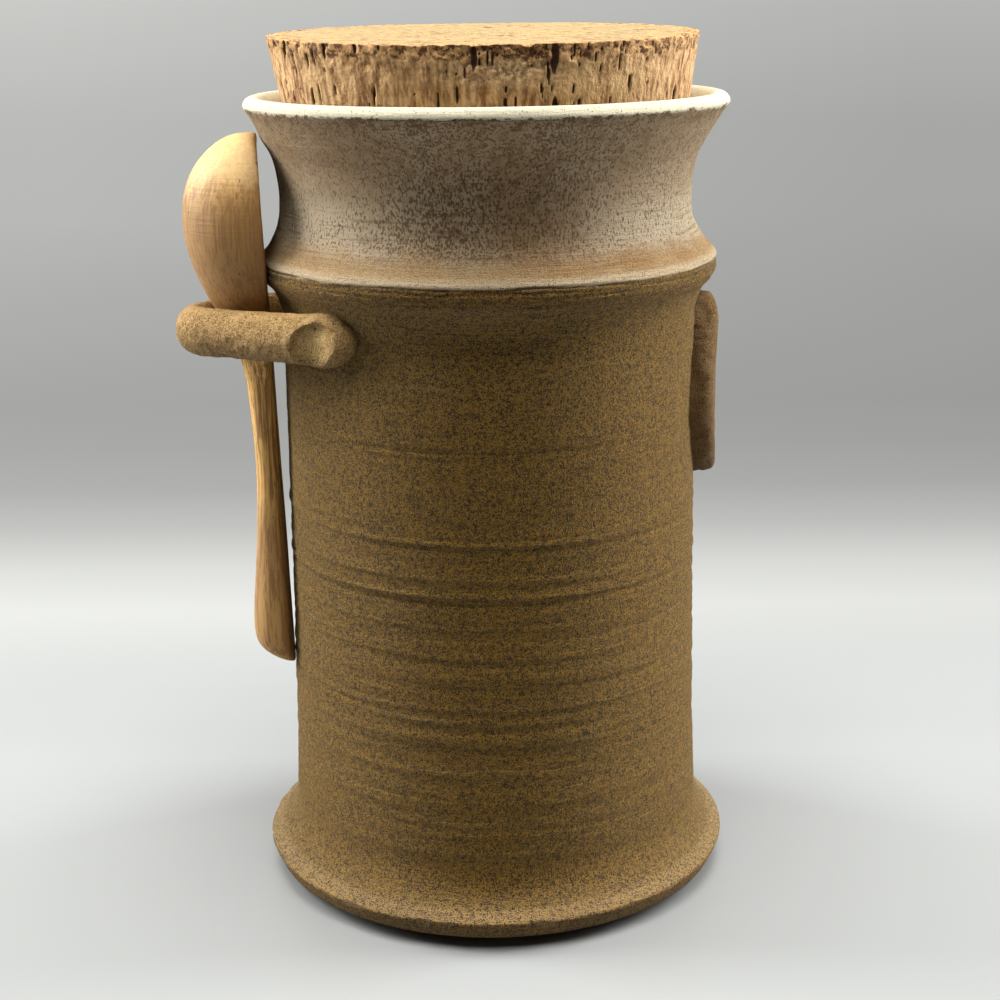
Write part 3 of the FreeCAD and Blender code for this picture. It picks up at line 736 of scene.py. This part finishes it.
# ---- materials -----------------------------------------------------------------------------
def bare_wall_colour(tree, place, height, lines, patches, wander):
    """Brown clay with redder patches, level lines, paler towards the ridge and darker under it, and
    the foot's own tones with a pale band along the flange's upper edge, painted light from above."""
    broad = ramp_between(tree, lines["Broad"], 0.34, 0.66)
    body = blend(tree, broad, (0.112, 0.049, 0.002), (0.172, 0.083, 0.004))
    body = paint(tree, body, ramp_between(tree, patches, 0.52, 0.70, 0.0, 0.65), (0.172, 0.072, 0.015))
    # paler, redder upper wall: partly a redder patch of clay, partly painted light against the shade under
    # the ridge
    upper_wall = ramp_between(tree, height, 0.140, 0.162)
    body = paint(tree, body, upper_wall, (0.235, 0.128, 0.034), 0.6)
    pressed = grain(tree, stretched(tree, place, (0.1, 0.1, 1.0)), 55.0, 2.0)
    lined = ramp_between(tree, pressed, 0.42, 0.60, 0.35, 1.0)
    light_lines = times(tree, ramp_between(tree, lines["Fine"], 0.59, 0.68), lined)
    dark_lines = times(tree, ramp_between(tree, lines["Fine"], 0.41, 0.33), lined)
    body = paint(tree, body, light_lines, (0.30, 0.195, 0.060), 0.60)
    body = paint(tree, body, dark_lines, (0.085, 0.036, 0.006), 0.50)

    foot = ramp_between(tree, height, 0.020, 0.012)
    body = paint(tree, body, foot, (0.175, 0.108, 0.046))
    base_band = ramp_between(tree, wavering(tree, height, wander, 0.0016), 0.0096, 0.0088)
    body = paint(tree, body, base_band, (0.215, 0.112, 0.060))

    # painted highlight: a pale band over the flange's upper edge and top, where light from above falls
    foot_edge = band_between(tree, height, 0.0080, 0.0087, 0.0098, 0.0122)
    body = paint(tree, body, foot_edge, (0.70, 0.490, 0.270), 0.90)
    under_ridge = band_between(tree, height, 0.1765, 0.1815, 0.1880, 0.1895)
    body = paint(tree, body, under_ridge, (0.215, 0.094, 0.020), 0.80)
    return body


def glaze_colour(tree, off_centre, height, lines, patches, wander, mottled):
    """Grey-white glaze with mottles and level marks, pooled paler low on the sides, and painted shade in a
    brown tone on the sides above.
    """
    milky = blend(tree, ramp_between(tree, patches, 0.42, 0.62), (0.62, 0.480, 0.320), (0.50, 0.335, 0.190))
    milky = paint(tree, milky, mottled, (0.25, 0.140, 0.058), 0.58)
    milky = paint(tree, milky, ramp_between(tree, lines["Broad"], 0.56, 0.70, 0.0, 0.35), (0.33, 0.21, 0.11))
    to_side = ramp_between(tree, off_centre, 0.014, 0.044)
    pooled_height = wavering(tree, height, wander, 0.008)
    pooled = band_between(tree, pooled_height, 0.1935, 0.2000, 0.2060, 0.2230)
    milky = paint(tree, milky, times(tree, pooled, to_side), (0.72, 0.590, 0.410), 0.95)
    low_neck = ramp_between(tree, height, 0.2120, 0.2040)
    level_marks = times(tree, ramp_between(tree, lines["Fine"], 0.44, 0.36), low_neck)
    milky = paint(tree, milky, level_marks, (0.26, 0.140, 0.055), 0.5)
    # painted shade: the sides of the upper neck, left and right of the middle, darkened with a brown tone
    side_shade = times(tree, to_side, ramp_between(tree, height, 0.2030, 0.2100))
    milky = paint(tree, milky, side_shade, (0.26, 0.155, 0.070), 0.38)
    return milky


def neck_freckles(tree, place, off_centre, height, patches):
    """A share for the neck's small dark speckles, closer together in the middle and in patches."""
    freckle_cells = grain(tree, stretched(tree, place, (1.0, 1.0, 0.55)), 1750.0, 1.0, 0.5)
    middle_share = ramp_between(tree, off_centre, 0.048, 0.010, 0.0, 0.055)
    freckle_area = plus(tree, ramp_between(tree, patches, 0.35, 0.62, 0.095, 0.035), middle_share)
    freckles = ramp_between(tree, plus(tree, freckle_cells, freckle_area), 0.632, 0.690)
    on_neck = ramp_between(tree, height, 0.190, 0.197)
    return times(tree, freckles, on_neck)


def jar_material():
    """Bare brown stoneware with level lines, iron specks and red patches; a thin grey-white glaze on
    the neck that breaks to tan at the ridge and to cream on the lip; a darker band round the foot.
    Light and shade are painted in too: a highlight along the ridge's top and the foot's upper edge,
    shade under the lip and on the sides of the upper neck, and a paler upper wall that partly offsets the
    ridge's shadow."""
    material, tree, shader, place = new_material("stoneware_thrown", 0.85)
    parts = add_node(tree, "ShaderNodeSeparateXYZ", {0: place}).outputs
    height, off_centre = parts[2], maths(tree, "ABSOLUTE", parts[0])
    sandy = group_node(tree, SANDY, place, Grain=1700.0, Specks=430.0)
    lines = group_node(tree, LEVEL, place, Fineness=300.0)
    patches = grain(tree, place, 34.0, 3.0, 0.6)
    wander = grain(tree, place, 60.0, 4.0, 0.7)

    body = bare_wall_colour(tree, place, height, lines, patches, wander)
    ragged = wavering(tree, height, maths(tree, "SUBTRACT", wander, 0.5), 0.0020)
    slope = ramp_between(tree, ragged, 0.1870, 0.1877)
    tan = blend(tree, ramp_between(tree, patches, 0.45, 0.62), (0.76, 0.500, 0.260), (0.61, 0.350, 0.155))
    clay = blend(tree, slope, body, tan)
    below_hollow = ramp_between(tree, height, 0.1905, 0.1885)
    # painted highlight: a near-white line along the ridge's crest, where light from above catches its upper
    # edge
    crest = times(tree, ramp_between(tree, ragged, 0.1866, 0.1873), below_hollow)
    clay = paint(tree, clay, crest, (1.0, 0.800, 0.540))

    glaze_share = ramp_between(tree, wavering(tree, height, wander, 0.012), 0.1955, 0.2030)
    mottled = ramp_between(tree, grain(tree, place, 420.0, 3.0, 0.7), 0.47, 0.60)
    milky = glaze_colour(tree, off_centre, height, lines, patches, wander, mottled)
    glazed = blend(tree, glaze_share, clay, milky)
    freckles = neck_freckles(tree, place, off_centre, height, patches)
    glazed = paint(tree, glazed, freckles, (0.118, 0.055, 0.019), 0.78)
    lip_edge = plus(tree, times(tree, wander, 0.0020), times(tree, mottled, -0.0007))
    lip = ramp_between(tree, plus(tree, height, lip_edge), 0.2306, 0.2314)
    glazed = paint(tree, glazed, lip, (0.71, 0.675, 0.510), 0.92)

    # painted shade under the lip's overhang, broken up by the glaze's mottling
    lip_shadow = times(tree, ramp_between(tree, height, 0.2265, 0.2292), ramp_between(tree, lip, 0.6, 0.1))
    lip_shadow = times(tree, lip_shadow, ramp_between(tree, mottled, 0.2, 0.8, 0.15, 0.75))
    glazed = paint(tree, glazed, lip_shadow, (0.17, 0.085, 0.032))
    torn = mark_of(tree, "torn")
    glazed = paint(tree, glazed, ramp_between(tree, torn, 0.07, 0.30, 0.0, 0.95), (0.085, 0.028, 0.009))
    chipped = mark_of(tree, "chipped")
    glazed = paint(tree, glazed, ramp_between(tree, chipped, 0.05, 0.30, 0.0, 0.8), (0.62, 0.48, 0.31))

    on_clay = maths(tree, "SUBTRACT", 1.0, times(tree, glaze_share, 0.65))
    on_clay = times(tree, on_clay, ramp_between(tree, slope, 0.0, 1.0, 1.0, 0.50))
    grog = times(tree, sandy["Grog"], on_clay)
    tinted = blend(tree, times(tree, grog, 0.85), glazed, (0.385, 0.205, 0.024))
    dark_gaps = ramp_between(tree, sandy["Grog"], 0.60, 0.08, 0.0, 1.0)
    tinted = paint(tree, tinted, times(tree, dark_gaps, on_clay), (0.030, 0.012, 0.001))
    tinted = paint(tree, tinted, times(tree, sandy["Fleck"], on_clay), (0.48, 0.30, 0.075), 0.65)
    tinted = paint(tree, tinted, sandy["Pit"], (0.035, 0.017, 0.004), 0.70)
    tinted = paint(tree, tinted, lines["Scratch"], (0.36, 0.27, 0.15), 0.16)
    tinted = paint(tree, tinted, times(tree, sandy["Iron"], on_clay), (0.035, 0.020, 0.010), 0.80)

    relief = plus(tree, times(tree, sandy["Height"], 1.6), times(tree, lines["Fine"], 1.1))
    relief = times(tree, relief, ramp_between(tree, glaze_share, 0.0, 1.0, 1.0, 0.70))
    relief = times(tree, relief, ramp_between(tree, lip, 0.2, 1.0, 1.0, 0.30))
    roughness = ramp_between(tree, times(tree, glaze_share, patches), 0.0, 0.7, 0.90, 0.62)
    finish_material(tree, shader, tinted, roughness, relief, 1.0, 0.0014)
    shader.inputs["Specular IOR Level"].default_value = 0.06
    shader.inputs["Sheen Weight"].default_value = 0.26
    shader.inputs["Sheen Roughness"].default_value = 0.45
    shader.inputs["Sheen Tint"].default_value = (1.0, 0.90, 0.66, 1.0)
    return material


def cork_material():
    """Natural cork: tan face with fibrous streaks, browner side, nearly black pores, reddish worn edge."""
    material, tree, shader, place = new_material("natural_cork", 0.9)
    face = mark_of(tree, "cut_face")
    pore = mark_of(tree, "pore")
    worn = mark_of(tree, "worn")
    crumbled = mark_of(tree, "crumbled")
    fibre = grain(tree, stretched(tree, place, (0.45, 1.0, 1.0)), 400.0, 4.0, 0.75)
    upright = grain(tree, stretched(tree, place, (1.0, 1.0, 0.18)), 640.0, 4.0, 0.65)
    crumb = grain(tree, place, 900.0, 3.0, 0.65)
    patches = grain(tree, place, 70.0, 3.0, 0.6)
    side = blend(tree, ramp_between(tree, upright, 0.35, 0.65), (0.235, 0.112, 0.040), (0.70, 0.445, 0.215))
    side = paint(tree, side, ramp_between(tree, patches, 0.48, 0.68, 0.0, 0.6), (0.62, 0.42, 0.20))
    top = blend(tree, ramp_between(tree, fibre, 0.35, 0.66), (0.200, 0.118, 0.045), (0.56, 0.468, 0.232))
    top = paint(tree, top, ramp_between(tree, patches, 0.50, 0.66, 0.0, 0.35), (0.46, 0.26, 0.115))
    top = paint(tree, top, ramp_between(tree, fibre, 0.50, 0.57, 0.0, 0.80), (0.14, 0.055, 0.018))
    grey = blend(tree, ramp_between(tree, crumb, 0.42, 0.56), (0.60, 0.45, 0.24), (0.085, 0.060, 0.038))
    side = paint(tree, side, crumbled, grey, 0.85)
    colour = blend(tree, face, side, top)
    colour = paint(tree, colour, ramp_between(tree, crumb, 0.60, 0.74, 0.0, 0.5), (0.16, 0.075, 0.030))
    colour = paint(tree, colour, ramp_between(tree, crumb, 0.30, 0.22, 0.0, 0.5), (0.72, 0.56, 0.35))
    rim_red = times(tree, ramp_between(tree, worn, 0.05, 0.40), 0.92)
    torn_grain = ramp_between(tree, grain(tree, place, 520.0, 3.0, 0.7), 0.46, 0.58)
    torn = blend(tree, torn_grain, (0.50, 0.290, 0.115), (0.095, 0.034, 0.012))
    colour = paint(tree, colour, rim_red, torn)
    colour = paint(tree, colour, ramp_between(tree, pore, 0.04, 0.34), (0.050, 0.020, 0.009))
    relief = plus(tree, times(tree, crumb, 0.8), times(tree, upright, 0.5))
    roughness = ramp_between(tree, crumb, 0.3, 0.7, 0.85, 0.95)
    finish_material(tree, shader, colour, roughness, relief, 0.9, 0.0006)
    shader.inputs["Specular IOR Level"].default_value = 0.25
    return material


def clay_material(name, light, dark, iron_and_shade_colour, grog_colour, edge_mark, shading_tone):
    """Hand-worked clay: two tones in soft patches, grog grains, iron specks, a darker underside in the iron
    tone as painted shade (on the disc partly its darker clay), and one marked tone of painted light and
    shade.
    """
    material, tree, shader, place = new_material(name, 0.82)
    sandy = group_node(tree, SANDY, place, Grain=1700.0, Specks=620.0)
    patches = grain(tree, place, 85.0, 3.0, 0.6)
    colour = blend(tree, ramp_between(tree, patches, 0.38, 0.64), light, dark)
    # the marked tone: a pale tone as painted light on the floor of the loop's thumb hollows, and a dark tone
    # round the disc's rim, partly painted shade
    marked = ramp_between(tree, mark_of(tree, edge_mark), 0.2, 0.9)
    colour = paint(tree, colour, marked, shading_tone, 0.75)
    # painted shade on the marked underside, in the same dark tone as the iron specks
    colour = paint(tree, colour, mark_of(tree, "underside"), iron_and_shade_colour, 0.55)
    colour = paint(tree, colour, sandy["Grog"], grog_colour, 0.55)
    gaps = ramp_between(tree, sandy["Grog"], 0.50, 0.05, 0.0, 0.70)
    colour = paint(tree, colour, gaps, (0.13, 0.070, 0.020))
    colour = paint(tree, colour, sandy["Fleck"], grog_colour, 0.5)
    colour = paint(tree, colour, sandy["Pit"], (0.06, 0.03, 0.010), 0.75)
    colour = paint(tree, colour, sandy["Iron"], iron_and_shade_colour, 0.8)
    roughness = ramp_between(tree, patches, 0.3, 0.7, 0.70, 0.88)
    finish_material(tree, shader, colour, roughness, sandy["Height"], 1.0, 0.0010)
    shader.inputs["Specular IOR Level"].default_value = 0.15
    return material


def wood_material():
    """Pale turned wood: fine upright grain, soft broad bands, sanding marks and small dark flecks. The bowl's
    top is painted paler as painted light, with less grain showing there, and the bowl below it is painted
    darker as the painted shadow of the jar's rim.
    """
    material, tree, shader, place = new_material("scoop_wood", 0.55)
    fine = grain(tree, stretched(tree, place, (1.0, 1.0, 0.03)), 1000.0, 4.0, 0.75)
    bands = grain(tree, stretched(tree, place, (1.0, 1.0, 0.06)), 150.0, 3.0, 0.55, 0.4)
    sanding = grain(tree, stretched(tree, place, (0.04, 0.04, 1.0)), 1500.0, 2.0, 0.6)
    colour = blend(tree, ramp_between(tree, bands, 0.36, 0.64), (0.39, 0.215, 0.069), (0.52, 0.317, 0.110))
    height = add_node(tree, "ShaderNodeSeparateXYZ", {0: place}).outputs[2]
    # a ragged height along which the painted highlight on the bowl's top meets the painted shadow below it
    edge = wavering(tree, height, maths(tree, "SUBTRACT", bands, 0.5), 0.012)
    # painted highlight: the bowl above about 207 to 214 mm is painted paler where the overhead lamp lights
    # its top
    colour = paint(tree, colour, ramp_between(tree, edge, 0.2070, 0.2140, 0.0, 0.9), (0.60, 0.395, 0.165))
    # painted shadow of the jar's rim on the bowl, from below the lit top down to the loop
    rim_shadow = times(tree, ramp_between(tree, edge, 0.213, 0.203), ramp_between(tree, height, 0.158, 0.168))
    colour = paint(tree, colour, rim_shadow, (0.19, 0.085, 0.024), 0.50)
    pale = band_between(tree, height, 0.105, 0.125, 0.158, 0.168)
    colour = paint(tree, colour, pale, (0.84, 0.490, 0.140), 0.7)
    # the grain shows less on the bowl's top, under the painted highlight
    grain_share = ramp_between(tree, edge, 0.214, 0.207, 0.20, 0.92)
    dark_grain = times(tree, ramp_between(tree, fine, 0.46, 0.57), grain_share)
    colour = paint(tree, colour, dark_grain, (0.26, 0.130, 0.046))
    crosswise = band_between(tree, edge, 0.192, 0.206, 0.211, 0.217)
    crosswise = plus(tree, times(tree, crosswise, 0.26), 0.03)
    scratches = times(tree, ramp_between(tree, sanding, 0.50, 0.66), crosswise)
    colour = paint(tree, colour, scratches, (0.25, 0.14, 0.06))
    flecks = grain(tree, stretched(tree, place, (1.0, 1.0, 0.25)), 700.0, 2.0, 0.5)
    colour = paint(tree, colour, ramp_between(tree, flecks, 0.70, 0.76, 0.0, 0.8), (0.10, 0.05, 0.025))
    relief = plus(tree, fine, times(tree, sanding, 0.7))
    roughness = ramp_between(tree, bands, 0.3, 0.7, 0.48, 0.62)
    finish_material(tree, shader, colour, roughness, relief, 0.35, 0.0004)
    shader.inputs["Specular IOR Level"].default_value = 0.22
    return material


# ---- stage ---------------------------------------------------------------------------------
def flat_sheet(name, corners, material):
    """One four-cornered sheet."""
    mesh = bpy.data.meshes.new(name)
    mesh.from_pydata(corners, [], [(0, 1, 2, 3)])
    sheet = bpy.data.objects.new(name, mesh)
    bpy.context.scene.collection.objects.link(sheet)
    mesh.materials.append(material)
    return sheet


def tone_ramp(tree, value, low, high, stops):
    """A colour that follows a value through stops, whose places are in the value's own unit."""
    share = add_node(tree, "ShaderNodeMapRange", {0: value, 1: low, 2: high}).outputs[0]
    ramp = add_node(tree, "ShaderNodeValToRGB", {0: share})
    elements = ramp.color_ramp.elements
    while len(elements) < len(stops):
        elements.new(0.5)
    for element, (place, tone) in zip(elements, stops):
        element.position = (place - low) / (high - low)
        element.color = (tone, tone * 1.012, tone * 0.975, 1.0)
    return ramp.outputs[0]


def seen_only(tree):
    """1 for what the camera, a mirror or glass sees, 0 for light that falls on something."""
    path = tree.nodes.new("ShaderNodeLightPath").outputs
    seen = maths(tree, "MAXIMUM", path["Is Camera Ray"], path["Is Glossy Ray"])
    return maths(tree, "MAXIMUM", seen, path["Is Transmission Ray"])


def paper_material(name, axis, low, high, stops, start, end):
    """Pale paper lit by the lamps up to start, and shown at its own tone from end on."""
    material, tree, shader, place = new_material(name, 0.38)
    value = add_node(tree, "ShaderNodeSeparateXYZ", {0: place}).outputs[axis]
    near = blend(tree, ramp_between(tree, value, 0.0, 0.10), (0.262, 0.269, 0.267), (0.228, 0.235, 0.233))
    seen = seen_only(tree)
    tone = blend(tree, seen, (0.19, 0.19, 0.19), near)
    tree.links.new(tone, shader.inputs["Base Color"])
    shader.inputs["Specular IOR Level"].default_value = 0.85
    across = add_node(tree, "ShaderNodeSeparateXYZ", {0: place}).outputs[0]
    falling = add_node(tree, "ShaderNodeMapRange", {0: across, 1: -0.5, 2: 0.5, 3: 1.15, 4: 0.91}).outputs[0]
    tones = tone_ramp(tree, value, low, high, stops)
    glow = add_node(tree, "ShaderNodeEmission", {"Color": tones, "Strength": falling})
    share = times(tree, seen, ramp_between(tree, value, start, end))
    mix = add_node(tree, "ShaderNodeMixShader", {0: share, 1: shader.outputs[0], 2: glow.outputs[0]})
    tree.links.new(mix.outputs[0], tree.nodes["Material Output"].inputs["Surface"])
    return material


def make_stage():
    """A table that turns greyer with distance, and a sheet behind it that turns paler upwards."""
    table_tones = ((0.13, 0.76), (0.223, 0.81), (0.28, 0.70), (0.345, 0.52), (0.42, 0.41), (0.51, 0.37),
                   (0.62, 0.35), (0.90, 0.375), (1.60, 0.42))
    sheet_tones = ((0.0, 0.42), (0.11, 0.43), (0.25, 0.51), (0.60, 0.56))
    table = paper_material("pale_table", 1, 0.0, 1.6, table_tones, 0.12, 0.22)
    sheet = paper_material("pale_sheet", 2, 0.0, 0.6, sheet_tones, -2.0, -1.0)
    level = -0.0003
    floor = flat_sheet("floor", [(-4, -4, level), (4, -4, level), (4, 1.6, level), (-4, 1.6, level)], table)
    backdrop = flat_sheet("backdrop", [(-4, 1.6, level), (4, 1.6, level), (4, 1.6, 3), (-4, 1.6, 3)], sheet)


def area_lamp(name, place, aim, width, height, power, colour=(1.0, 1.0, 1.0)):
    """A rectangular lamp aimed at a point and not seen by the camera."""
    lamp = bpy.data.lights.new(name, "AREA")
    lamp.shape, lamp.size, lamp.size_y = "RECTANGLE", width, height
    lamp.energy, lamp.color = power, colour
    holder = bpy.data.objects.new(name, lamp)
    holder.location = place
    direction = Vector(aim) - Vector(place)
    holder.rotation_euler = direction.to_track_quat("-Z", "Y").to_euler()
    holder.visible_camera = False
    bpy.context.scene.collection.objects.link(holder)


def make_lights():
    """A large lamp overhead, one on each side behind, and a dim grey surround."""
    area_lamp("overhead_panel", (0.0, -0.27, 2.10), (0.0, 0.0, 0.1), 1.3, 1.3, 75.0, (1.0, 0.985, 0.95))
    area_lamp("left_panel", (-0.92, 0.25, 0.60), (0.0, 0.0, 0.14), 0.45, 0.8, 23.5)
    area_lamp("right_panel", (0.92, 0.25, 0.60), (0.0, 0.0, 0.14), 0.45, 0.8, 23.5)
    world = bpy.data.worlds.new("studio")
    bpy.context.scene.world = world
    world.use_nodes = True
    tree = world.node_tree
    background = tree.nodes["Background"]
    tone = blend(tree, seen_only(tree), (0.05, 0.05, 0.05), (0.50, 0.51, 0.49))
    tree.links.new(tone, background.inputs["Color"])


def make_camera():
    """A normal lens in front of the canister, looking a little down, with a slight roll."""
    place, lens_length = (0.0, -0.520, 0.26205), 64.18
    yaw, pitch, roll = 0.0047577, 0.280181, 0.0122789
    forward = Vector((math.sin(yaw) * math.cos(pitch), math.cos(yaw) * math.cos(pitch), -math.sin(pitch)))
    level_up = Vector((math.sin(yaw) * math.sin(pitch), math.cos(yaw) * math.sin(pitch), math.cos(pitch)))
    level_right = Vector((math.cos(yaw), -math.sin(yaw), 0.0))
    right = math.cos(roll) * level_right - math.sin(roll) * level_up
    up = math.cos(roll) * level_up + math.sin(roll) * level_right
    lens = bpy.data.cameras.new("camera")
    lens.lens, lens.sensor_width = lens_length, 36.0
    holder = bpy.data.objects.new("camera", lens)
    turned = Matrix((right, up, -forward)).transposed().to_4x4()
    holder.matrix_world = Matrix.Translation(place) @ turned
    bpy.context.scene.collection.objects.link(holder)
    bpy.context.scene.camera = holder


# ---- the canister --------------------------------------------------------------------------
def main():
    """Every piece with its own material, then the stage, the lamps and the camera."""
    place_piece("jar_thrown", jar_mesh(), jar_material(), ["jar"])
    place_piece("cork_stopper", cork_mesh(), cork_material(), ["cork"])
    # the thumb hollows' pale tone is painted light; the darker underside in the iron tone is painted shade
    loop_clay = clay_material("rolled_clay", (0.40, 0.240, 0.086), (0.275, 0.157, 0.052),
                              (0.05, 0.025, 0.010), (0.56, 0.375, 0.160), "pressed", (0.92, 0.650, 0.270))
    place_piece("spoon_loop_clay", loop_mesh(), loop_clay, ["spoon_loop"])
    # the disc's darker rim and lower half are partly painted shade, partly its darker clay
    disc_clay = clay_material("disc_clay", (0.130, 0.072, 0.022), (0.085, 0.044, 0.014), (0.03, 0.015, 0.007),
                              (0.27, 0.170, 0.060), "rim", (0.100, 0.045, 0.016))
    place_piece("medallion_clay", medallion_mesh(), disc_clay, ["side_lug"])
    place_piece("scoop_wood", scoop_mesh(), wood_material(), ["spoon"])
    make_stage()
    make_lights()
    make_camera()
    bpy.context.scene.view_settings.view_transform = "Standard"


main()
